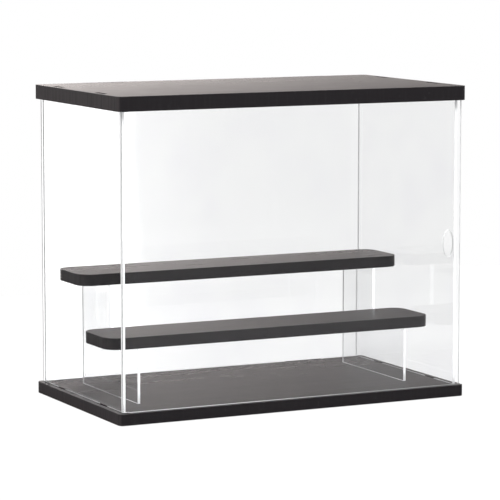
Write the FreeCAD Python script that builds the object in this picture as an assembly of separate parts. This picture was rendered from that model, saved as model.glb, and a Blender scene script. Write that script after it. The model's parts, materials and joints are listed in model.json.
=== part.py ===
import FreeCAD, Part
import os

# Display case, in millimetres: X to the right, Y to the back, Z up.
# The origin is the middle of the base's underside, and the door is at the front, towards -Y.

# Boards of the case
CASE_WIDTH = 395.0
CASE_DEPTH = 220.0
CLEAR_HEIGHT = 300.0
BASE_THICKNESS = 12.0
TOP_THICKNESS = 15.0
BOARD_CORNER_RADIUS = 5.0
BOARD_ARRIS = 0.5

# Clear sheet and where it stands on the boards
SHEET = 3.0
SIDE_SETBACK = 6.5
BACK_SETBACK = 2.0
SIDE_REAR_SETBACK = 1.5
BUTT_GAP = 1.0

# Tabs on the panels, and the slots milled through the boards for them
SIDE_TAB_LENGTH = 20.0
SIDE_TAB_PITCH = 110.0
BACK_TAB_LENGTH = 46.0
BACK_TAB_PITCH = 237.0
TAB_RECESS = 1.5
TAB_LEAD_IN = 1.0
SLOT_CLEARANCE = 0.15

# Sliding door in blind grooves that are open at the right-hand end
DOOR_SETBACK = 5.2
DOOR_GAP = 0.5
DOOR_LEFT_OVERHANG = 1.5
DOOR_RIGHT_OVERHANG = 3.5
DOOR_CLEARANCE = 0.4
DOOR_TONGUE = 3.5
DOOR_NOTCH = 7.7
FINGER_HOLE_WIDTH = 12.0
FINGER_HOLE_HEIGHT = 28.0
FINGER_HOLE_FROM_END = 14.0

# Stepped riser inside the case
STEP_RISE = 56.5
SHELF_LEFT_GAP = 0.4
SHELF_RIGHT_GAP = 4.3
SHELF_THICKNESS = 12.0
SHELF_CORNER_RADIUS = 15.0
LOWER_SHELF_SETBACK = 39.1
LOWER_SHELF_DEPTH = 69.0
UPPER_SHELF_DEPTH = 68.0
STEP_GAP = 0.2
SUPPORT_FROM_SHELF_END = 31.5
SUPPORT_INSET = 0.7
SUPPORT_REAR_REACH = 0.6
TONGUE_HEIGHT = 5.0
TONGUE_SETBACK = 8.0

# Levels and faces worked out from the sizes above
Z_BASE = BASE_THICKNESS
Z_TOP = BASE_THICKNESS + CLEAR_HEIGHT
CASE_HEIGHT = Z_TOP + TOP_THICKNESS
SIDE_OUTER = CASE_WIDTH / 2 - SIDE_SETBACK
SIDE_INNER = SIDE_OUTER - SHEET
BACK_INNER = CASE_DEPTH / 2 - BACK_SETBACK - SHEET
SIDE_REAR = CASE_DEPTH / 2 - SIDE_REAR_SETBACK
DOOR_FRONT = -CASE_DEPTH / 2 + DOOR_SETBACK
DOOR_REAR = DOOR_FRONT + SHEET
SIDE_FRONT = DOOR_REAR + DOOR_GAP
DOOR_LEFT = -SIDE_OUTER - DOOR_LEFT_OVERHANG
DOOR_RIGHT = SIDE_OUTER + DOOR_RIGHT_OVERHANG
DOOR_TONGUE_LEFT = DOOR_LEFT + DOOR_NOTCH
SLOT_WIDTH = SHEET + 2 * SLOT_CLEARANCE
DOOR_GROOVE_WIDTH = SHEET + 2 * DOOR_CLEARANCE
SIDE_MIDDLE = (SIDE_FRONT + SIDE_REAR) / 2
SIDE_TABS = (SIDE_MIDDLE - SIDE_TAB_PITCH / 2, SIDE_MIDDLE + SIDE_TAB_PITCH / 2)
BACK_TABS = (-BACK_TAB_PITCH / 2, BACK_TAB_PITCH / 2)
SHELF_LEFT = -SIDE_INNER + SHELF_LEFT_GAP
SHELF_RIGHT = SIDE_INNER - SHELF_RIGHT_GAP
LOWER_SHELF_FRONT = DOOR_REAR + LOWER_SHELF_SETBACK
LOWER_SHELF_REAR = LOWER_SHELF_FRONT + LOWER_SHELF_DEPTH
SUPPORT_FRONT = LOWER_SHELF_FRONT + SUPPORT_INSET
SUPPORT_STEP = LOWER_SHELF_REAR + STEP_GAP
UPPER_SHELF_FRONT = SUPPORT_STEP - SUPPORT_INSET
UPPER_SHELF_REAR = UPPER_SHELF_FRONT + UPPER_SHELF_DEPTH
SUPPORT_REAR = UPPER_SHELF_REAR + SUPPORT_REAR_REACH
Z_LOWER_SHELF = Z_BASE + STEP_RISE
Z_UPPER_SHELF = Z_LOWER_SHELF + STEP_RISE
SUPPORT_PLACES = {
    "left": SHELF_LEFT + SUPPORT_FROM_SHELF_END,
    "right": SHELF_RIGHT - SUPPORT_FROM_SHELF_END,
}
LOWER_TONGUE = (SUPPORT_FRONT + TONGUE_SETBACK, SUPPORT_STEP - TONGUE_SETBACK)
UPPER_TONGUE = (SUPPORT_STEP + TONGUE_SETBACK, SUPPORT_REAR - TONGUE_SETBACK)

X_AXIS = FreeCAD.Vector(1, 0, 0)
Y_AXIS = FreeCAD.Vector(0, 1, 0)
Z_AXIS = FreeCAD.Vector(0, 0, 1)


def rounded_board(left, right, front, rear, underside, thickness, corner):
    """A board with round corners and softened edges."""
    board = Part.makeBox(right - left, rear - front, thickness, FreeCAD.Vector(left, front, underside))
    uprights = [edge for edge in board.Edges if edge.BoundBox.ZLength > thickness / 2]
    board = board.makeFillet(corner, uprights)
    rims = [edge for edge in board.Edges if edge.BoundBox.ZLength < thickness / 2]
    return board.makeFillet(BOARD_ARRIS, rims)


def milled_slot(start, end, width, z_low, z_high):
    """The cut that a round cutter leaves between two points (x, y), with half-round ends beyond them."""
    first = FreeCAD.Vector(start[0], start[1], z_low)
    last = FreeCAD.Vector(end[0], end[1], z_low)
    along = (last - first).normalize()
    side = Z_AXIS.cross(along) * (width / 2)
    reach = along * (width / 2)
    wire = Part.Wire([
        Part.makeLine(first - side, last - side),
        Part.Arc(last - side, last + reach, last + side).toShape(),
        Part.makeLine(last + side, first + side),
        Part.Arc(first + side, first - reach, first - side).toShape(),
    ])
    return Part.Face(wire).extrude(Z_AXIS * (z_high - z_low))


def flat_sheet(outline, origin, along, through):
    """A clear sheet cut to an outline of (along, up) points, one SHEET thick in the direction through."""
    points = [origin + along * u + Z_AXIS * v for u, v in outline]
    face = Part.Face(Part.makePolygon(points + points[:1]))
    return face.extrude(through * SHEET)


def tabbed_outline(start, end, tab_centres, tab_length):
    """Outline of a panel that stands on the base, carries the top and has tabs in both."""
    low = TAB_RECESS
    high = CASE_HEIGHT - TAB_RECESS
    half = tab_length / 2
    lower = [(start, Z_BASE)]
    upper = [(start, Z_TOP)]
    for centre in sorted(tab_centres):
        for edge, board_face, tip, inwards in ((lower, Z_BASE, low, 1), (upper, Z_TOP, high, -1)):
            edge.append((centre - half, board_face))
            edge.append((centre - half, tip + inwards * TAB_LEAD_IN))
            edge.append((centre - half + TAB_LEAD_IN, tip))
            edge.append((centre + half - TAB_LEAD_IN, tip))
            edge.append((centre + half, tip + inwards * TAB_LEAD_IN))
            edge.append((centre + half, board_face))
    lower.append((end, Z_BASE))
    upper.append((end, Z_TOP))
    return lower + upper[::-1]


def panel_slots(z_low, z_high):
    """Slots through a board for the tabs of the two side panels and the back panel."""
    slots = []
    side_middle = SIDE_OUTER - SHEET / 2
    side_half = SIDE_TAB_LENGTH / 2 + SLOT_CLEARANCE
    for x in (-side_middle, side_middle):
        for y in SIDE_TABS:
            slots.append(milled_slot((x, y - side_half), (x, y + side_half), SLOT_WIDTH, z_low, z_high))
    back_middle = BACK_INNER + SHEET / 2
    back_half = BACK_TAB_LENGTH / 2 + SLOT_CLEARANCE
    for x in BACK_TABS:
        ends = ((x - back_half, back_middle), (x + back_half, back_middle))
        slots.append(milled_slot(ends[0], ends[1], SLOT_WIDTH, z_low, z_high))
    return slots


def door_groove(z_low, z_high):
    """Groove for the door's long edge: closed and half round at the left, open at the right-hand end."""
    middle = (DOOR_FRONT + DOOR_REAR) / 2
    left = (DOOR_TONGUE_LEFT - DOOR_CLEARANCE, middle)
    right = (CASE_WIDTH / 2 + DOOR_GROOVE_WIDTH, middle)
    return milled_slot(left, right, DOOR_GROOVE_WIDTH, z_low, z_high)


def tongue_groove(x, tongue, z_low, z_high):
    """Blind groove for the tongue of a riser support that stands across the case at x."""
    start = (x, tongue[0] - SLOT_CLEARANCE)
    end = (x, tongue[1] + SLOT_CLEARANCE)
    return milled_slot(start, end, SLOT_WIDTH, z_low, z_high)


def case_board(underside, thickness):
    half_width = CASE_WIDTH / 2
    half_depth = CASE_DEPTH / 2
    return rounded_board(-half_width, half_width, -half_depth, half_depth, underside, thickness,
                         BOARD_CORNER_RADIUS)


def base_plate():
    board = case_board(0, BASE_THICKNESS)
    cuts = panel_slots(0, Z_BASE)
    cuts.append(door_groove(Z_BASE - DOOR_TONGUE, Z_BASE))
    return board.cut(cuts)


def top_plate():
    board = case_board(Z_TOP, TOP_THICKNESS)
    cuts = panel_slots(Z_TOP, CASE_HEIGHT)
    cuts.append(door_groove(Z_TOP, Z_TOP + DOOR_TONGUE + DOOR_CLEARANCE))
    return board.cut(cuts)


def side_panel(x):
    outline = tabbed_outline(SIDE_FRONT, SIDE_REAR, SIDE_TABS, SIDE_TAB_LENGTH)
    return flat_sheet(outline, X_AXIS * x, Y_AXIS, X_AXIS)


def back_panel():
    half = SIDE_INNER - BUTT_GAP
    outline = tabbed_outline(-half, half, BACK_TABS, BACK_TAB_LENGTH)
    return flat_sheet(outline, Y_AXIS * BACK_INNER, X_AXIS, Y_AXIS)


def sliding_door():
    """Door whose left corners are notched, so that its tongues stop at the grooves' closed ends."""
    low_edge = Z_BASE - DOOR_TONGUE
    high_edge = Z_TOP + DOOR_TONGUE
    outline = [
        (DOOR_LEFT, Z_BASE + DOOR_CLEARANCE),
        (DOOR_TONGUE_LEFT, Z_BASE + DOOR_CLEARANCE),
        (DOOR_TONGUE_LEFT, low_edge),
        (DOOR_RIGHT, low_edge),
        (DOOR_RIGHT, high_edge),
        (DOOR_TONGUE_LEFT, high_edge),
        (DOOR_TONGUE_LEFT, Z_TOP - DOOR_CLEARANCE),
        (DOOR_LEFT, Z_TOP - DOOR_CLEARANCE),
    ]
    door = flat_sheet(outline, Y_AXIS * DOOR_FRONT, X_AXIS, Y_AXIS)
    centre = FreeCAD.Vector(DOOR_RIGHT - FINGER_HOLE_FROM_END, DOOR_FRONT, (Z_BASE + Z_TOP) / 2)
    tall_point = centre + Z_AXIS * (FINGER_HOLE_HEIGHT / 2)
    wide_point = centre + X_AXIS * (FINGER_HOLE_WIDTH / 2)
    oval = Part.Wire(Part.Ellipse(tall_point, wide_point, centre).toShape())
    return door.cut(Part.Face(oval).extrude(Y_AXIS * SHEET))


def riser_support(x):
    """Stepped plate that stands on the base and whose two tongues enter the shelves."""
    outline = [
        (SUPPORT_FRONT, Z_BASE),
        (SUPPORT_REAR, Z_BASE),
        (SUPPORT_REAR, Z_UPPER_SHELF),
        (UPPER_TONGUE[1], Z_UPPER_SHELF),
        (UPPER_TONGUE[1], Z_UPPER_SHELF + TONGUE_HEIGHT),
        (UPPER_TONGUE[0], Z_UPPER_SHELF + TONGUE_HEIGHT),
        (UPPER_TONGUE[0], Z_UPPER_SHELF),
        (SUPPORT_STEP, Z_UPPER_SHELF),
        (SUPPORT_STEP, Z_LOWER_SHELF),
        (LOWER_TONGUE[1], Z_LOWER_SHELF),
        (LOWER_TONGUE[1], Z_LOWER_SHELF + TONGUE_HEIGHT),
        (LOWER_TONGUE[0], Z_LOWER_SHELF + TONGUE_HEIGHT),
        (LOWER_TONGUE[0], Z_LOWER_SHELF),
        (SUPPORT_FRONT, Z_LOWER_SHELF),
    ]
    return flat_sheet(outline, X_AXIS * (x - SHEET / 2), Y_AXIS, X_AXIS)


def shelf(front, rear, underside, tongue):
    """Shelf with round corners and a blind groove over each support's tongue."""
    board = rounded_board(SHELF_LEFT, SHELF_RIGHT, front, rear, underside, SHELF_THICKNESS,
                          SHELF_CORNER_RADIUS)
    roof = underside + TONGUE_HEIGHT + SLOT_CLEARANCE
    grooves = []
    for x in SUPPORT_PLACES.values():
        grooves.append(tongue_groove(x, tongue, underside, roof))
    return board.cut(grooves)


pieces = {
    "base_plate": base_plate(),
    "top_plate": top_plate(),
    "left_panel": side_panel(-SIDE_OUTER),
    "right_panel": side_panel(SIDE_INNER),
    "back_panel": back_panel(),
    "sliding_door": sliding_door(),
    "lower_shelf": shelf(LOWER_SHELF_FRONT, LOWER_SHELF_REAR, Z_LOWER_SHELF, LOWER_TONGUE),
    "upper_shelf": shelf(UPPER_SHELF_FRONT, UPPER_SHELF_REAR, Z_UPPER_SHELF, UPPER_TONGUE),
}
for side, x in SUPPORT_PLACES.items():
    pieces[side + "_riser_support"] = riser_support(x)

os.makedirs("parts", exist_ok=True)
for name, shape in pieces.items():
    shape.exportStep(os.path.join("parts", name + ".step"))
    print(name, len(shape.Solids), "solid", round(shape.Volume), "mm3, valid", shape.isValid())
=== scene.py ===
"""Looks of the display case: black boards, clear sheet and a white studio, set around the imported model."""

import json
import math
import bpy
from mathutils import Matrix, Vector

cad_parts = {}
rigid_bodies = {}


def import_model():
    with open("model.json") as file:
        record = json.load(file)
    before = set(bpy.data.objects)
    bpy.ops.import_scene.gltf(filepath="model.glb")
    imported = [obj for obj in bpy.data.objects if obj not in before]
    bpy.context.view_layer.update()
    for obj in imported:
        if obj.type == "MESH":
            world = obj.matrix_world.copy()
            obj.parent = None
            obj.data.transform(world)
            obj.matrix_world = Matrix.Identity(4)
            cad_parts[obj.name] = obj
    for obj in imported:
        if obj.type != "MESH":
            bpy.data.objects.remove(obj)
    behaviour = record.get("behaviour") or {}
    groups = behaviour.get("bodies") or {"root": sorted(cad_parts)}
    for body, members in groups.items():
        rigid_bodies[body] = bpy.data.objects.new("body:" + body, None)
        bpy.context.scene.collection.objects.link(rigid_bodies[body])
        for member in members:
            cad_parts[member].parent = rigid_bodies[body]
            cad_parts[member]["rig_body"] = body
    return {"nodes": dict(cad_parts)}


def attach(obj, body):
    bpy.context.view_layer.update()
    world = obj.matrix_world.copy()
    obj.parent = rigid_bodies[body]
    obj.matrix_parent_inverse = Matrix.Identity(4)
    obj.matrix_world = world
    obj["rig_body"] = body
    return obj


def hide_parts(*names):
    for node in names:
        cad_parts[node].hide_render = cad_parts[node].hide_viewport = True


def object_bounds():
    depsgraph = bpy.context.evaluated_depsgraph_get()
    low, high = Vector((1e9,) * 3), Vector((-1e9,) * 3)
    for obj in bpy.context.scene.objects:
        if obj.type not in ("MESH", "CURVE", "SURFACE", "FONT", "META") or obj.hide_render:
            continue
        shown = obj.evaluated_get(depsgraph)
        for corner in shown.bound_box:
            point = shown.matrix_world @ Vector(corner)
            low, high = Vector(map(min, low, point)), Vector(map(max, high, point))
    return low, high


bl_info = {
    "name": "Display case looks",
    "version": (1, 0, 0),
    "blender": (4, 5, 0),
    "location": "View3D > Sidebar > Display case",
    "description": "Finishes the boards and clear sheets of a display case and sets up its studio",
    "category": "Material",
}

import bmesh
import bpy
from mathutils import Matrix, Vector

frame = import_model()
CAD_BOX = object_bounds()

X, Y = 0, 1
WHITE = (1.0, 1.0, 1.0, 1.0)
BLACK = (0.0, 0.0, 0.0, 1.0)

# The middle of a noise's values, and the depth of every bump in metres
NOISE_MIDDLE = 0.5
BUMP_DISTANCE = 0.0001

# How much painted shade darkens each board's broad face at its left and at its right end
PAINTED_SHADE_ENDS = {
    "base_plate": (0.18, 0.05),
    "top_plate": (0.08, 0.0),
    "lower_shelf": (0.06, 0.32),
    "upper_shelf": (0.0, 0.0),
}

# The axis across which each clear sheet is thin. The door isn't listed, because it is made in its own way
SHEETS = {
    "left_panel": X,
    "right_panel": X,
    "left_riser_support": X,
    "right_riser_support": X,
    "back_panel": Y,
}

# Kinds of faces on a clear sheet, which are also its material slots. Each kind of edge gets a brighter or
# darker copy of the sawn finish by the way it faces, which is painted light and shade
FACE, FRONT, FOOT, SIDE, REAR, ARRIS, STEP, WALL = range(8)

# Front edges of a sheet further back than this are those of the riser's step
STEP_FROM = -0.03

# The door's finger hole: the place of its centre, half its width and half its height
FINGER_HOLE = {"x": 0.1805, "z": 0.162, "half_width": 0.006, "half_height": 0.014}

# The side panels' slots: the place of the panels' outer faces, the middle between the two tabs, their pitch,
# and half the length of the painted shade beside each, which stands in for the gap between tab and slot
SLOTS = {"side": 0.191, "middle": 0.0036, "pitch": 0.11, "half_length": 0.013}

# Heights of the base's upper face and of the top's lower face
BASE_FACE = max(corner.co.z for corner in frame["nodes"]["base_plate"].data.vertices)
TOP_FACE = min(corner.co.z for corner in frame["nodes"]["top_plate"].data.vertices)


class Value:
    """A number on a shader's socket: sums written with it add their Math nodes."""

    def __init__(self, finish, socket):
        self.finish = finish
        self.socket = socket

    def math(self, operation, *terms):
        return self.finish.node("ShaderNodeMath", {"operation": operation}, dict(enumerate(terms)))

    def __add__(self, other):
        return self.math("ADD", self, other)

    def __radd__(self, other):
        return self.math("ADD", other, self)

    def __sub__(self, other):
        return self.math("SUBTRACT", self, other)

    def __rsub__(self, other):
        return self.math("SUBTRACT", other, self)

    def __mul__(self, other):
        return self.math("MULTIPLY", self, other)

    def __rmul__(self, other):
        return self.math("MULTIPLY", other, self)

    def __abs__(self):
        return self.math("ABSOLUTE", self)

    def least(self, other):
        return self.math("MINIMUM", self, other)

    def most(self, other):
        return self.math("MAXIMUM", self, other)

    def over(self, low, high):
        """0 up to low, 1 from high on, and a smooth rise between them."""
        settings = {"interpolation_type": "SMOOTHSTEP"}
        inputs = {"Value": self, "From Min": low, "From Max": high}
        return self.finish.node("ShaderNodeMapRange", settings, inputs)

    def beside(self, name):
        """Another outlet of the same node."""
        return Value(self.finish, self.socket.node.outputs[name])


class Finish:
    """The nodes of one material or of the world."""

    def __init__(self, tree):
        self.tree = tree
        tree.nodes.clear()

    def node(self, kind, settings=None, inputs=None, outlet=0):
        """Adds a node: its settings first, then the values or links of its sockets."""
        made = self.tree.nodes.new(kind)
        for name, setting in (settings or {}).items():
            setattr(made, name, setting)
        for name, value in (inputs or {}).items():
            if isinstance(value, Value):
                self.tree.links.new(value.socket, made.inputs[name])
            else:
                made.inputs[name].default_value = value
        return Value(self, made.outputs[outlet]) if made.outputs else made

    def place(self, outlet="Object"):
        return self.node("ShaderNodeTexCoord", outlet=outlet)

    def split(self, vector):
        first = self.node("ShaderNodeSeparateXYZ", None, {0: vector})
        return first, first.beside("Y"), first.beside("Z")

    def stretched(self, vector, scale):
        return self.node("ShaderNodeVectorMath", {"operation": "MULTIPLY"}, {0: vector, 1: scale})

    def noise(self, vector, scale=1.0, detail=2.0, roughness=0.5):
        inputs = {"Vector": vector, "Scale": scale, "Detail": detail, "Roughness": roughness}
        return self.node("ShaderNodeTexNoise", None, inputs)

    def bump(self, height, strength):
        inputs = {"Strength": strength, "Distance": BUMP_DISTANCE, "Height": height}
        return self.node("ShaderNodeBump", None, inputs)

    def blend(self, share, first, second):
        """Mixes two colours."""
        settings = {"data_type": "RGBA"}
        return self.node("ShaderNodeMix", settings, {0: share, 6: first, 7: second}, outlet=2)

    def layered(self, share, first, second):
        """Mixes two shaders."""
        return self.node("ShaderNodeMixShader", None, {0: share, 1: first, 2: second})

    def show(self, shader, kind="ShaderNodeOutputMaterial"):
        self.node(kind, None, {"Surface": shader})


def new_finish(name):
    material = bpy.data.materials.new(name)
    material.use_nodes = True
    return material, Finish(material.node_tree)


def dress(node, material):
    """Gives a CAD piece its finish."""
    slots = frame["nodes"][node].data.materials
    slots.clear()
    slots.append(material)


class CaseBoardLook(bpy.types.PropertyGroup):
    """Satin black finish of the boards"""

    face_colour: bpy.props.FloatVectorProperty(
        name="Face colour", description="Colour of the boards' broad faces", subtype="COLOR", size=4,
        default=(0.0105, 0.0095, 0.01, 1.0))
    edge_colour: bpy.props.FloatVectorProperty(
        name="Edge colour", description="Colour of the boards' cut edges", subtype="COLOR", size=4,
        default=(0.0134, 0.0114, 0.0131, 1.0))
    arris_colour: bpy.props.FloatVectorProperty(
        name="Arris colour", description="Colour of specks and of softened edges", subtype="COLOR", size=4,
        default=(0.04, 0.039, 0.039, 1.0))
    # Painted light: the boards' end faces are paler, standing in for the light they reflect
    end_painted_light_colour: bpy.props.FloatVectorProperty(
        name="End colour", description="Colour of the cut edges at the boards' ends", subtype="COLOR", size=4,
        default=(0.048, 0.0415, 0.043, 1.0))
    face_roughness: bpy.props.FloatProperty(
        name="Face roughness", description="Sheen of the broad faces", subtype="FACTOR", default=0.29)
    edge_roughness: bpy.props.FloatProperty(
        name="Edge roughness", description="Sheen of the cut edges", subtype="FACTOR", default=0.5)


class ClearSheetLook(bpy.types.PropertyGroup):
    """Clear sheet"""

    tint: bpy.props.FloatVectorProperty(
        name="Tint", description="What the sheet lets through", subtype="COLOR", size=4,
        default=(0.988, 0.991, 0.992, 1.0))
    edge_colour: bpy.props.FloatVectorProperty(
        name="Edge colour", description="Colour of the light that the cut edges scatter", subtype="COLOR",
        size=4, default=(0.93, 0.935, 0.94, 1.0))
    # Painted shade: the softened edges are greyer than the front edges because of the way they face
    side_painted_shade_colour: bpy.props.FloatVectorProperty(
        name="Side colour", description="Colour of the softened edges, and of the back panel's left end",
        subtype="COLOR", size=4, default=(0.8, 0.8, 0.8, 1.0))
    # Painted shade: the edges at the back are greyer than the front edges because they face away
    rear_painted_shade_colour: bpy.props.FloatVectorProperty(
        name="Rear colour", description="Colour of the cut edges at the back", subtype="COLOR", size=4,
        default=(0.7, 0.7, 0.7, 1.0))
    shade_colour: bpy.props.FloatVectorProperty(
        name="Shade colour", description="Colour of cut edges and scuffed strips where they are shaded",
        subtype="COLOR", size=4, default=(0.14, 0.14, 0.14, 1.0))
    # Painted shade: the left panel's softened edge beside its front edge is nearly black, standing in for the
    # dark line that the sheet's bending of light makes there
    arris_colour: bpy.props.FloatVectorProperty(
        name="Arris colour", description="Colour of the softened edge beside the left panel's front edge",
        subtype="COLOR", size=4, default=(0.01, 0.01, 0.01, 1.0))
    haze: bpy.props.FloatVectorProperty(
        name="Haze", description="What the sheet lets through where it is least clean", subtype="COLOR",
        size=4, default=(0.966, 0.966, 0.976, 1.0))
    # Painted glow: emission on the cut edges, standing in for light that the sheet gathers and lets out
    edge_painted_glow: bpy.props.FloatProperty(
        name="Edge light", description="Light that the sheet gathers and lets out at its cut edges",
        default=0.28)
    edge_roughness: bpy.props.FloatProperty(
        name="Edge roughness", description="Sheen of the cut edges", subtype="FACTOR", default=0.4)
    arris: bpy.props.FloatProperty(
        name="Arris", description="How much is taken off the sheet's sharp edges", unit="LENGTH",
        default=0.0002)
    wide_arris: bpy.props.FloatProperty(
        name="Wide arris", description="How much is taken off the left panel's sharp edges", unit="LENGTH",
        default=0.00035)
    air: bpy.props.FloatProperty(
        name="Air", description="Air between the sheet's edges and the boards", unit="LENGTH",
        default=0.00005)
    scuff: bpy.props.FloatProperty(
        name="Scuff", description="How far the door is scuffed outside its grooves", unit="LENGTH",
        default=0.0002)
    bending: bpy.props.FloatProperty(
        name="Refractive index", description="How strongly the sheet bends light", default=1.49)


class StudioLook(bpy.types.PropertyGroup):
    """Camera and light"""

    camera_place: bpy.props.FloatVectorProperty(
        name="Camera place", description="Where the camera stands", subtype="XYZ", unit="LENGTH",
        default=(-1.2609, -2.5504, 0.5045))
    camera_yaw: bpy.props.FloatProperty(
        name="Camera yaw", description="Turn of the camera to the right of the case's front", subtype="ANGLE",
        default=math.radians(26.316))
    camera_pitch: bpy.props.FloatProperty(
        name="Camera pitch", description="How far the camera looks down", subtype="ANGLE",
        default=math.radians(7.035))
    camera_lens: bpy.props.FloatProperty(
        name="Camera lens", description="Focal length in millimetres on a 36 mm sensor", unit="CAMERA",
        default=196.25)
    lamp_place: bpy.props.FloatVectorProperty(
        name="Lamp place", description="Where the soft lamp hangs", subtype="XYZ", unit="LENGTH",
        default=(-0.3, -1.5, 2.2))
    lamp_size: bpy.props.FloatProperty(
        name="Lamp size", description="Width of the soft lamp", unit="LENGTH", default=1.2)
    lamp_power: bpy.props.FloatProperty(
        name="Lamp power", description="Power of the soft lamp", unit="POWER", default=46.0)
    room_strength: bpy.props.FloatProperty(
        name="Room light", description="Light of the white room on the case", default=0.55)
    side_strength: bpy.props.FloatProperty(
        name="Room beside", description="Brightness of the room's sides, as they show in reflections",
        default=0.07)
    white_strength: bpy.props.FloatProperty(
        name="White walls", description="Brightness of the walls straight ahead and across, in reflections",
        default=0.7)
    left_strength: bpy.props.FloatProperty(
        name="Room at the left", description="Brightness added high up behind the left end, in reflections",
        default=0.8)
    wall_strength: bpy.props.FloatProperty(
        name="Left wall", description="Brightness added low behind the left end, in reflections", default=0.3)
    front_strength: bpy.props.FloatProperty(
        name="Room in front", description="Brightness added in front, as it shows in reflections",
        default=0.225)
    cove_strength: bpy.props.FloatProperty(
        name="White cove", description="Brightness of the cove behind, as it shows in reflections",
        default=3.6)
    cove_colour: bpy.props.FloatVectorProperty(
        name="Cove colour", description="Colour of the cove behind, as it shows in reflections",
        subtype="COLOR", size=4, default=(1.0, 0.925, 0.88, 1.0))
    cove_upper_colour: bpy.props.FloatVectorProperty(
        name="Upper cove colour", description="Colour of the cove higher up, as it shows in reflections",
        subtype="COLOR", size=4, default=(1.0, 0.905, 0.945, 1.0))
    floor_colour: bpy.props.FloatVectorProperty(
        name="Floor colour", description="Colour of the floor that takes the case's shadow", subtype="COLOR",
        size=4, default=(0.9, 0.9, 0.9, 1.0))


# A board's painted shade beside the slots: where it begins and ends beyond the panel, and fades at a slot's
# ends
RIM_BEGINS = (-0.0002, 0.0)
RIM_ENDS = (0.0016, 0.0022)
RIM_FADES = (-0.001, 0.0)

# Where a board's surface becomes a broad face or leaves a cut edge, by how upright its normal is, and where a
# cut edge becomes an end, by how far its normal points across
FACE_UPRIGHT = (0.93, 0.995)
EDGE_UPRIGHT = (0.04, 0.3)
END_ACROSS = (0.4, 0.95)

# How a board's noises are stretched, where their marks set in, and how much of each shows
STREAK_STRETCH = (6.0, 170.0, 20.0)
MARK_STRETCH = (400.0, 400.0, 18.0)
SPECKS_FROM = (0.70, 0.78)
WEAR_FROM = (0.35, 0.6)
EDGE_MARKS_FROM = (0.45, 0.75)
END_MARKS_FROM = (0.5, 0.75)
SPECK_SHARE = 0.25
EDGE_MARK_SHARE = 0.12
END_MARK_SHARE = 0.6

# The painted light on the boards' ends is stronger higher up
END_HEIGHTS = (0.0, 0.3)
LOW_END_SHARE = 0.65

# A board's roughness: how much less it is for each metre to the back, and how much streaks, wear and marks
# vary it
ROUGHNESS_LOSS = 0.18
STREAK_ROUGHNESS = 0.06
WEAR_ROUGHNESS = 0.05
MARK_ROUGHNESS = 0.2

# How strongly a board's faces and cut edges shine, and how strongly its grain and marks stand out
FACE_SPECULAR = 0.35
EDGE_SPECULAR = 0.15
BOARD_BUMP = 0.1

# Between these places the painted shade on a board's face goes over from that of its left end to that of its
# right end
PAINTED_SHADE_ACROSS = (-0.17, 0.19)


def painted_slot_shade(x, y):
    """Painted shade beside the side panels' tabs, standing in for the gap of their slots."""
    beyond_panel = abs(x) - SLOTS["side"]
    from_slot = abs(abs(y - SLOTS["middle"]) - 0.5 * SLOTS["pitch"]) - SLOTS["half_length"]
    beside_panel = beyond_panel.over(*RIM_BEGINS) * (1 - beyond_panel.over(*RIM_ENDS))
    return beside_panel * (1 - from_slot.over(*RIM_FADES))


def board_material(name, look, painted_shade_ends):
    """Satin black faces, cut edges with upright marks, paler softened edges, painted light on the ends, and
    painted shade beside the slots and across the faces.
    """
    material, finish = new_finish(name)
    place = finish.place()
    x, y, z = finish.split(place)
    normal_across, _, normal_up = finish.split(finish.place("Normal"))
    upright = abs(normal_up)
    face = upright.over(*FACE_UPRIGHT)
    cut = 1 - upright.over(*EDGE_UPRIGHT)
    arris = (1 - face) * (1 - cut)

    streaks = finish.noise(finish.stretched(place, STREAK_STRETCH), detail=3.0)
    grain = finish.noise(place, scale=900.0)
    marks = finish.noise(finish.stretched(place, MARK_STRETCH))
    wear = finish.noise(place, scale=60.0, detail=4.0, roughness=0.65)
    specks = finish.noise(place, scale=260.0, detail=1.0).over(*SPECKS_FROM)

    # Painted light on the cut ends, stronger higher up and broken by marks
    unmarked = 1 - marks.over(*END_MARKS_FROM) * END_MARK_SHARE
    painted_light_height = LOW_END_SHARE + (1 - LOW_END_SHARE) * z.over(*END_HEIGHTS)
    painted_light_end = cut * abs(normal_across).over(*END_ACROSS) * unmarked * painted_light_height
    colour = finish.blend(cut, look.face_colour, look.edge_colour)
    colour = finish.blend(painted_light_end, colour, look.end_painted_light_colour)
    colour = finish.blend(arris * wear.over(*WEAR_FROM), colour, look.arris_colour)
    colour = finish.blend(cut * marks.over(*EDGE_MARKS_FROM) * EDGE_MARK_SHARE, colour, look.arris_colour)
    colour = finish.blend(specks * SPECK_SHARE, colour, look.arris_colour)

    roughness = look.face_roughness - y * ROUGHNESS_LOSS
    roughness = roughness + (streaks - NOISE_MIDDLE) * STREAK_ROUGHNESS
    roughness = roughness + (wear - NOISE_MIDDLE) * WEAR_ROUGHNESS
    satin = finish.node("ShaderNodeBsdfPrincipled", None, {
        "Base Color": colour,
        "Roughness": roughness,
        "Specular IOR Level": FACE_SPECULAR,
        "Normal": finish.bump(grain, BOARD_BUMP),
    })
    sawn = finish.node("ShaderNodeBsdfPrincipled", None, {
        "Base Color": colour,
        "Roughness": look.edge_roughness + (marks - NOISE_MIDDLE) * MARK_ROUGHNESS,
        "Specular IOR Level": EDGE_SPECULAR,
        "Normal": finish.bump(marks, BOARD_BUMP),
    })
    # Painted shade: a dark matt shader mixed into the broad faces beside the slots, and by a share that goes
    # over from the left end to the right end
    painted_shade = finish.node("ShaderNodeBsdfDiffuse", None, {"Color": look.edge_colour})
    painted_shade_left, painted_shade_right = painted_shade_ends
    painted_shade_share = painted_shade_left + (painted_shade_right - painted_shade_left) * x.over(*PAINTED_SHADE_ACROSS)
    board = finish.layered(cut, satin, sawn)
    finish.show(finish.layered(painted_slot_shade(x, y).most(painted_shade_share) * face, board, painted_shade))
    return material


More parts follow.
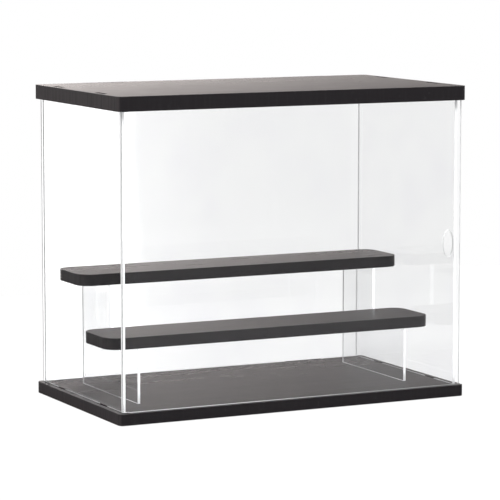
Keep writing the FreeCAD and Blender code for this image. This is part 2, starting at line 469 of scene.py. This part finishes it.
# Smears on the clear sheet's faces: the noise values between which they set in
SMEARS_FROM = (0.4, 0.75)

# The sawn edges of the clear sheet: how fine the saw's marks are, and how much they show
SAW_SCALE = 700.0
SAW_ROUGHNESS = 0.2
SAW_BUMP = 0.05

# Shares of the painted edge glow on some edges: the dimmer ones, the finger hole's wall and the riser's step
DIMMED_LIGHT = 0.5
HOLE_LIGHT = 0.3
STEP_LIGHT = 2.0

# Shade on the cut edges close to the base, and how high it reaches
BASE_SHADE = 0.4
BASE_SHADE_HEIGHT = 0.014

# Shade on the door's scuffed strips, which grows to the right between these places
SCUFF_SHADE = 0.55
SCUFF_SHADE_ACROSS = (-0.1, 0.19)

# Shade on the right of the finger hole's wall, its tilt, and where it sets in from the middle to the wall
HOLE_SHADE = 0.4
HOLE_SHADE_TILT = 0.35
HOLE_SHADE_FROM = (0.2, 1.1)


def near_base(x, z):
    """Shade of the front edges."""
    return BASE_SHADE - (z - BASE_FACE).over(0.0, BASE_SHADE_HEIGHT) * BASE_SHADE


def to_the_right(x, z):
    """Shade of the scuffed strips."""
    return x.over(*SCUFF_SHADE_ACROSS) * SCUFF_SHADE


def right_of_hole(x, z):
    """Shade of the finger hole's wall."""
    across = (x - FINGER_HOLE["x"]) * (1 / FINGER_HOLE["half_width"])
    upwards = (z - FINGER_HOLE["z"]) * (HOLE_SHADE_TILT / FINGER_HOLE["half_height"])
    return (across - upwards).over(*HOLE_SHADE_FROM) * HOLE_SHADE


def face_material(name, look):
    """Polished faces of the clear sheet. Lamps shine through them."""
    material, finish = new_finish(name)
    smears = finish.noise(finish.place(), scale=14.0, detail=3.0, roughness=0.55).over(*SMEARS_FROM)
    polished = finish.node("ShaderNodeBsdfPrincipled", None, {
        "Base Color": finish.blend(smears, look.tint, look.haze),
        "Roughness": 0.0,
        "IOR": look.bending,
        "Transmission Weight": 1.0,
    })
    lamps_pass = finish.node("ShaderNodeBsdfTransparent", None, {"Color": look.tint})
    shadow = finish.node("ShaderNodeLightPath", outlet="Is Shadow Ray")
    finish.show(finish.layered(shadow, polished, lamps_pass))
    return material


def edge_material(name, look, colour, light=0.0, shade=None):
    """Finely sawn edges of the clear sheet. The bright ones carry a painted glow, an emission standing in for
    light that the sheet gathers, and a shade function paints shade on them.
    """
    material, finish = new_finish(name)
    place = finish.place()
    glow = colour
    if shade:
        x, _, z = finish.split(place)
        shaded = shade(x, z)
        glow = finish.blend(shaded, colour, BLACK)
        colour = finish.blend(shaded, colour, look.shade_colour)
    saw = finish.noise(place, SAW_SCALE)
    sawn = finish.node("ShaderNodeBsdfPrincipled", None, {
        "Base Color": colour,
        "Roughness": look.edge_roughness + (saw - NOISE_MIDDLE) * SAW_ROUGHNESS,
        "IOR": look.bending,
        "Normal": finish.bump(saw, SAW_BUMP),
        "Emission Color": glow,
        "Emission Strength": light,
    })
    finish.show(sawn)
    return material


class CASE_OT_boards(bpy.types.Operator):
    """Finishes the base, the top and the two shelves in satin black"""

    bl_idname = "display_case.boards"
    bl_label = "Finish the boards"

    def execute(self, context):
        look = context.scene.case_board_look
        for node, painted_shade_ends in PAINTED_SHADE_ENDS.items():
            dress(node, board_material("satin_black_" + node, look, painted_shade_ends))
        return {"FINISHED"}


# How far a face's normal points along an axis when it faces that way, or partly that way
FACING = 0.9
PARTLY_FACING = 0.5

# Points this close are one point, and points this close in height lie on the same level
SAME_POINT = 1e-6
SAME_LEVEL = 1e-5

# Faces that meet at less than the first angle are one face, and at more than the second have a sharp edge
FLAT_ANGLE = math.radians(1)
SHARP_ANGLE = math.radians(30)

# Points this close to the plane of a cut lie on it
CUT_DISTANCE = 1e-7

# The finger hole's wall and its softened edges lie inside an oval with this many times the hole's area
HOLE_AREA = 1.15


def edge_kind(normal):
    """The kind of a cut or softened edge that faces this way."""
    if normal.y < -FACING:
        return FRONT
    if normal.y > PARTLY_FACING:
        return REAR
    if normal.x < -PARTLY_FACING and abs(normal.z) < PARTLY_FACING:
        return ARRIS
    return FOOT if abs(normal.z) > FACING else SIDE


def softened_sheet(node, thin_axis, look):
    """The CAD piece's own form with its sharp edges taken off and a hair's breadth of air at the boards."""
    form = bmesh.new()
    form.from_mesh(frame["nodes"][node].data)
    bmesh.ops.remove_doubles(form, verts=form.verts, dist=SAME_POINT)
    bmesh.ops.dissolve_limit(form, angle_limit=FLAT_ANGLE, verts=form.verts, edges=form.edges)
    sharp = [edge for edge in form.edges if edge.calc_face_angle(0) > SHARP_ANGLE]
    arris = look.wide_arris if node == "left_panel" else look.arris
    bmesh.ops.bevel(
        form, geom=sharp, offset=arris, segments=1, profile=0.5, affect="EDGES", clamp_overlap=True)
    for corner in form.verts:
        if abs(corner.co.z - BASE_FACE) < SAME_LEVEL:
            corner.co.z += look.air
        elif abs(corner.co.z - TOP_FACE) < SAME_LEVEL:
            corner.co.z -= look.air
    form.normal_update()
    for face in form.faces:
        kind = FACE if abs(face.normal[thin_axis]) > FACING else edge_kind(face.normal)
        at_step = kind in (FRONT, ARRIS) and face.calc_center_median().y > STEP_FROM
        face.material_index = STEP if at_step else kind
    return form


def scuffed_door(look):
    """The door: its tongues are scuffed by the grooves, and its finger hole has a wall of its own."""
    form = softened_sheet("sliding_door", Y, look)
    for level, side in ((BASE_FACE + look.scuff, 1), (TOP_FACE - look.scuff, -1)):
        whole = form.verts[:] + form.edges[:] + form.faces[:]
        bmesh.ops.bisect_plane(
            form, geom=whole, plane_co=(0, 0, level), plane_no=(0, 0, 1), dist=CUT_DISTANCE)
        for face in form.faces:
            if (face.calc_center_median().z - level) * side < 0:
                face.material_index = FOOT
    for face in form.faces:
        centre = face.calc_center_median()
        across = (centre.x - FINGER_HOLE["x"]) / FINGER_HOLE["half_width"]
        upwards = (centre.z - FINGER_HOLE["z"]) / FINGER_HOLE["half_height"]
        if across ** 2 + upwards ** 2 < HOLE_AREA:
            face.material_index = WALL
    return form


def show_sheet(node, form, materials):
    """Puts a clear sheet in the CAD piece's place, on its body."""
    mesh = bpy.data.meshes.new(node + "_sheet")
    form.to_mesh(mesh)
    form.free()
    for material in materials:
        mesh.materials.append(material)
    sheet = bpy.data.objects.new(node + "_sheet", mesh)
    bpy.context.collection.objects.link(sheet)
    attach(sheet, frame["nodes"][node]["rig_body"])
    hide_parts(node)


class CASE_OT_sheets(bpy.types.Operator):
    """Makes the panels, the door and the riser's supports clear"""

    bl_idname = "display_case.sheets"
    bl_label = "Finish the clear sheets"

    def execute(self, context):
        look = context.scene.clear_sheet_look
        colour, light = look.edge_colour, look.edge_painted_glow
        face = face_material("clear_sheet_face", look)
        front = edge_material("clear_sheet_front_edge", look, colour, light, near_base)
        foot = edge_material("clear_sheet_foot", look, colour, light)
        side = edge_material("clear_sheet_side_edge", look, look.side_painted_shade_colour)
        rear = edge_material("clear_sheet_rear_edge", look, look.rear_painted_shade_colour, DIMMED_LIGHT * light)
        # Painted shade: a dimmer copy of the front edges, with half their painted glow
        painted_shade = edge_material("clear_sheet_painted_shade_edge", look, colour, DIMMED_LIGHT * light, near_base)
        scuff = edge_material("clear_sheet_scuff", look, colour, shade=to_the_right)
        plain = edge_material("clear_sheet_plain_edge", look, colour)
        wall = edge_material("finger_hole_wall", look, colour, HOLE_LIGHT * light, right_of_hole)
        # Painted shade: a nearly black finish for the left panel's softened edge beside its front edge
        arris = edge_material("clear_sheet_painted_dark_arris", look, look.arris_colour)
        step = edge_material("clear_sheet_step_edge", look, colour, STEP_LIGHT * light)

        # Each in the order of the kinds of faces. The edge finishes are brighter and darker copies of one
        # sawn finish, so which one an edge gets paints light and shade on it
        support = (face, front, foot, foot, rear, side, step)
        finishes = {
            "left_panel": (face, front, foot, side, rear, arris, front),
            "right_panel": (face, painted_shade, foot, side, rear, side, painted_shade),
            "left_riser_support": support,
            "right_riser_support": support,
            "back_panel": (face, painted_shade, foot, foot, rear, side, side),
        }
        for node, thin_axis in SHEETS.items():
            show_sheet(node, softened_sheet(node, thin_axis, look), finishes[node])
        door = (face, front, scuff, plain, rear, plain, plain, wall)
        show_sheet("sliding_door", scuffed_door(look), door)
        return {"FINISHED"}


# The camera's sensor in millimetres, and how far the camera sees in metres
SENSOR_WIDTH = 36.0
VIEW_END = 50.0

# The room is told apart by a direction's share to the right, to the back and upwards. Each pair is the share
# at which something begins to set in or to end, and the share at which that is done

# The white cove behind: it falls off to the right, more or less so higher up, is brighter at its left rim, is
# almost dark above its top and changes colour on the way up
COVE_RIGHT = (-0.1, 0.25)
COVE_BACK = (0.1, 0.6)
COVE_FALL = (0.345, 0.5)
COVE_FALL_SHARE = 0.57
COVE_MIDDLE = (0.09, 0.13)
COVE_MIDDLE_SHARE = 0.21
COVE_UPPER = (0.145, 0.18)
COVE_UPPER_SHARE = 0.75
COVE_RIM = (0.365, 0.385)
COVE_RIM_SHARE = 0.15
COVE_TOP = (0.11, 0.155)
COVE_TOP_SHARE = 0.95
COVE_COLOURS = (0.08, 0.16)

# The room in front: it is less bright to the right and ends towards the back
FRONT_LEFT_SHARE = 1.6
FRONT_RIGHT_LOSS = 0.8
FRONT_RIGHT = (0.36, 0.52)
FRONT_END = (-0.6, -0.1)

# The glow high up at the left, and the wall low at the left
LEFT_GLOW_UP = (0.0, 0.1)
LEFT_GLOW_RIGHT_END = (-0.3, 0.1)
LEFT_GLOW_BACK = (-0.3, 0.3)
LEFT_WALL_UP_END = (-0.04, 0.0)
LEFT_WALL_RIGHT_END = (-0.455, -0.42)
LEFT_WALL_BACK = (0.3, 0.6)

# The white walls: those across end to the front and back, and those straight ahead end to the sides
WHITE_ACROSS_END = (0.35, 0.6)
WHITE_AHEAD_END = (0.1, 0.25)

# What the clear sheet adds to the white backdrop or takes from it: beside the left panel, through that panel,
# in the middle, at the right and low down
LEFT_GLARE = 0.08
LEFT_GLARE_END = (0.4, 0.44)
PANEL_GLARE = 0.7
PANEL_GLARE_END = (0.393, 0.406)
MIDDLE_LOSS = 0.01
RIGHT_GLARE = 0.053
RIGHT_GLARE_FROM = (0.472, 0.48)
LOW_RIGHT_GLARE = 0.055
LOW_RIGHT_UP_END = (-0.156, -0.14)
LOW_GLARE = 0.09
LOW_UP_END = (-0.16, -0.1)
LOW_RIGHT_END = (0.465, 0.48)

# The floor, in metres: its reach, the gap below the case, and where it is as bright in reflections as the
# room in front, the wall behind and the white walls beside the case
FLOOR_REACH = 0.8
FLOOR_GAP = 0.0002
FLOOR_FRONT_END = (-0.3, 0.0)
FLOOR_FRONT_SHARE = 1.7
FLOOR_BEHIND = (0.1, 0.3)
FLOOR_BEHIND_LEFT = (-0.33, -0.28)
FLOOR_BEHIND_SHARE = 1.6
FLOOR_BESIDE = (0.34, 0.44)
FLOOR_BESIDE_END = (0.12, 0.25)

# How clear the floor is to the camera, and to what is seen through the clear sheet
FLOOR_CLEAR = 0.9
FLOOR_CLEAR_THROUGH = 0.1


def ray_shares(finish):
    """Which rays see the surroundings: straight or through the clear sheet, in a reflection, or as light."""
    depth = finish.node("ShaderNodeLightPath", outlet="Diffuse Depth")
    lit = depth.least(1.0)
    mirrored = (1 - lit) * depth.beside("Glossy Depth").least(1.0)
    straight = (1 - lit) * (1 - mirrored)
    through = straight * (1 - depth.beside("Is Camera Ray"))
    return {"straight": straight, "mirrored": mirrored, "lit": lit, "through": through}


def cove_light(look, right, up):
    """Brightness of the cove behind, in reflections."""
    steepness = COVE_FALL_SHARE + COVE_MIDDLE_SHARE * up.over(*COVE_MIDDLE)
    steepness = steepness - COVE_UPPER_SHARE * up.over(*COVE_UPPER)
    fall_off = right.over(*COVE_FALL) * steepness - COVE_RIM_SHARE * (1 - right.over(*COVE_RIM))
    return look.cove_strength * (1 - fall_off) * (1 - up.over(*COVE_TOP) * COVE_TOP_SHARE)


def room_light(look, right, back, up, cove):
    """Brightness of the whole room, in reflections."""
    front_share = FRONT_LEFT_SHARE - FRONT_RIGHT_LOSS * right.over(*FRONT_RIGHT)
    front = look.front_strength * front_share * (1 - back.over(*FRONT_END))
    high_left = up.over(*LEFT_GLOW_UP) * (1 - right.over(*LEFT_GLOW_RIGHT_END))
    left_glow = look.left_strength * high_left * back.over(*LEFT_GLOW_BACK)
    low_left = (1 - up.over(*LEFT_WALL_UP_END)) * (1 - right.over(*LEFT_WALL_RIGHT_END))
    left_wall = look.wall_strength * low_left * back.over(*LEFT_WALL_BACK)
    sides = look.side_strength + front + left_glow + left_wall
    seen_room = sides * (1 - cove) + cove_light(look, right, up) * cove
    elsewhere = (1 - abs(back).over(*WHITE_ACROSS_END)).most(1 - abs(right).over(*WHITE_AHEAD_END))
    return seen_room + (look.white_strength - seen_room) * elsewhere


def backdrop_glare(right, up):
    """What is added to the white backdrop where it is seen through the clear sheet."""
    beside_panel = LEFT_GLARE * (1 - right.over(*LEFT_GLARE_END))
    through_panel = PANEL_GLARE * (1 - right.over(*PANEL_GLARE_END))
    low_right = RIGHT_GLARE + LOW_RIGHT_GLARE * (1 - up.over(*LOW_RIGHT_UP_END))
    at_right = right.over(*RIGHT_GLARE_FROM) * low_right
    low = LOW_GLARE * (1 - up.over(*LOW_UP_END)) * (1 - right.over(*LOW_RIGHT_END))
    return beside_panel + through_panel - MIDDLE_LOSS + at_right + low


class CASE_OT_studio(bpy.types.Operator):
    """Sets up the camera, the lamp, the white room and the floor"""

    bl_idname = "display_case.studio"
    bl_label = "Set up the studio"

    def execute(self, context):
        look = context.scene.case_studio_look
        context.scene.view_settings.view_transform = "Standard"
        self.add_camera(context, look)
        self.add_lamp(context, look)
        self.add_room(context, look)
        self.add_floor(context, look)
        return {"FINISHED"}

    def add_camera(self, context, look):
        data = bpy.data.cameras.new("photo_camera")
        data.lens = look.camera_lens
        data.sensor_width = SENSOR_WIDTH
        data.clip_end = VIEW_END
        camera = bpy.data.objects.new("photo_camera", data)
        yaw, pitch = look.camera_yaw, look.camera_pitch
        level = math.cos(pitch)
        ahead = Vector((math.sin(yaw) * level, math.cos(yaw) * level, -math.sin(pitch)))
        right = Vector((math.cos(yaw), -math.sin(yaw), 0.0))
        turn = Matrix((right, right.cross(ahead), -ahead)).transposed().to_4x4()
        camera.matrix_world = Matrix.Translation(look.camera_place) @ turn
        context.collection.objects.link(camera)
        context.scene.camera = camera

    def add_lamp(self, context, look):
        data = bpy.data.lights.new("soft_lamp", "AREA")
        data.energy = look.lamp_power
        data.size = look.lamp_size
        lamp = bpy.data.objects.new("soft_lamp", data)
        lamp.location = look.lamp_place
        lamp.rotation_euler = (-Vector(look.lamp_place)).to_track_quat("-Z", "Y").to_euler()
        context.collection.objects.link(lamp)

    def add_room(self, context, look):
        world = bpy.data.worlds.new("white_room")
        world.use_nodes = True
        finish = Finish(world.node_tree)
        rays = ray_shares(finish)
        right, back, up = finish.split(finish.place("Generated"))
        cove = back.over(*COVE_BACK) * right.over(*COVE_RIGHT)
        beyond = rays["straight"] + rays["through"] * backdrop_glare(right, up)
        mirrored_room = rays["mirrored"] * room_light(look, right, back, up, cove)
        cove_colour = finish.blend(up.over(*COVE_COLOURS), look.cove_colour, look.cove_upper_colour)
        light = finish.node("ShaderNodeBackground", None, {
            "Color": finish.blend(rays["mirrored"] * cove, WHITE, cove_colour),
            "Strength": beyond + mirrored_room + rays["lit"] * look.room_strength,
        })
        finish.show(light, "ShaderNodeOutputWorld")
        context.scene.world = world

    def add_floor(self, context, look):
        mesh = bpy.data.meshes.new("studio_floor")
        signs = ((-1, -1), (1, -1), (1, 1), (-1, 1))
        corners = [(FLOOR_REACH * x, FLOOR_REACH * y, 0) for x, y in signs]
        mesh.from_pydata(corners, [], [(0, 1, 2, 3)])
        mesh.materials.append(self.floor_material(look))
        floor = bpy.data.objects.new("studio_floor", mesh)
        floor.location.z = CAD_BOX[0][2] - FLOOR_GAP
        context.collection.objects.link(floor)

    def floor_material(self, look):
        """White floor that takes a faint shadow and has the room's brightness in reflections."""
        material, finish = new_finish("white_floor")
        rays = ray_shares(finish)
        across, depth, _ = finish.split(finish.place())
        ahead = 1 - depth.over(*FLOOR_FRONT_END)
        behind = depth.over(*FLOOR_BEHIND) * across.over(*FLOOR_BEHIND_LEFT)
        beside = (1 - abs(depth).over(*FLOOR_BESIDE_END)) * abs(across).over(*FLOOR_BESIDE)
        tuned = look.side_strength + ahead * look.front_strength * FLOOR_FRONT_SHARE
        tuned = tuned + behind * look.wall_strength * FLOOR_BEHIND_SHARE
        reflected = tuned + (look.white_strength - tuned) * beside
        glow = finish.node("ShaderNodeEmission", None, {"Color": finish.blend(reflected, BLACK, WHITE)})
        matt = finish.node("ShaderNodeBsdfDiffuse", None, {"Color": look.floor_colour})
        clear = finish.node("ShaderNodeBsdfTransparent", None, {"Color": WHITE})
        surface = finish.layered(rays["mirrored"], matt, glow)
        seen_through = rays["straight"] * FLOOR_CLEAR + rays["through"] * FLOOR_CLEAR_THROUGH
        finish.show(finish.layered(seen_through, surface, clear))
        return material


class CASE_PT_looks(bpy.types.Panel):
    """Lists the looks of the display case"""

    bl_label = "Display case"
    bl_idname = "CASE_PT_looks"
    bl_space_type = "VIEW_3D"
    bl_region_type = "UI"
    bl_category = "Display case"

    def draw(self, context):
        for group, operator in zip(LOOKS, OPERATORS):
            look = getattr(context.scene, group)
            for name in look.__annotations__:
                self.layout.prop(look, name)
            self.layout.operator(operator.bl_idname)


# The groups of looks, and the operators that use them in the same order
LOOKS = {
    "case_board_look": CaseBoardLook,
    "clear_sheet_look": ClearSheetLook,
    "case_studio_look": StudioLook,
}
OPERATORS = (CASE_OT_boards, CASE_OT_sheets, CASE_OT_studio)


def register():
    for name, group in LOOKS.items():
        bpy.utils.register_class(group)
        setattr(bpy.types.Scene, name, bpy.props.PointerProperty(type=group))
    for operator in OPERATORS:
        bpy.utils.register_class(operator)
    bpy.utils.register_class(CASE_PT_looks)


def unregister():
    bpy.utils.unregister_class(CASE_PT_looks)
    for operator in reversed(OPERATORS):
        bpy.utils.unregister_class(operator)
    for name, group in LOOKS.items():
        delattr(bpy.types.Scene, name)
        bpy.utils.unregister_class(group)


def main():
    register()
    bpy.ops.display_case.boards()
    bpy.ops.display_case.sheets()
    bpy.ops.display_case.studio()


if __name__ == "__main__":
    main()
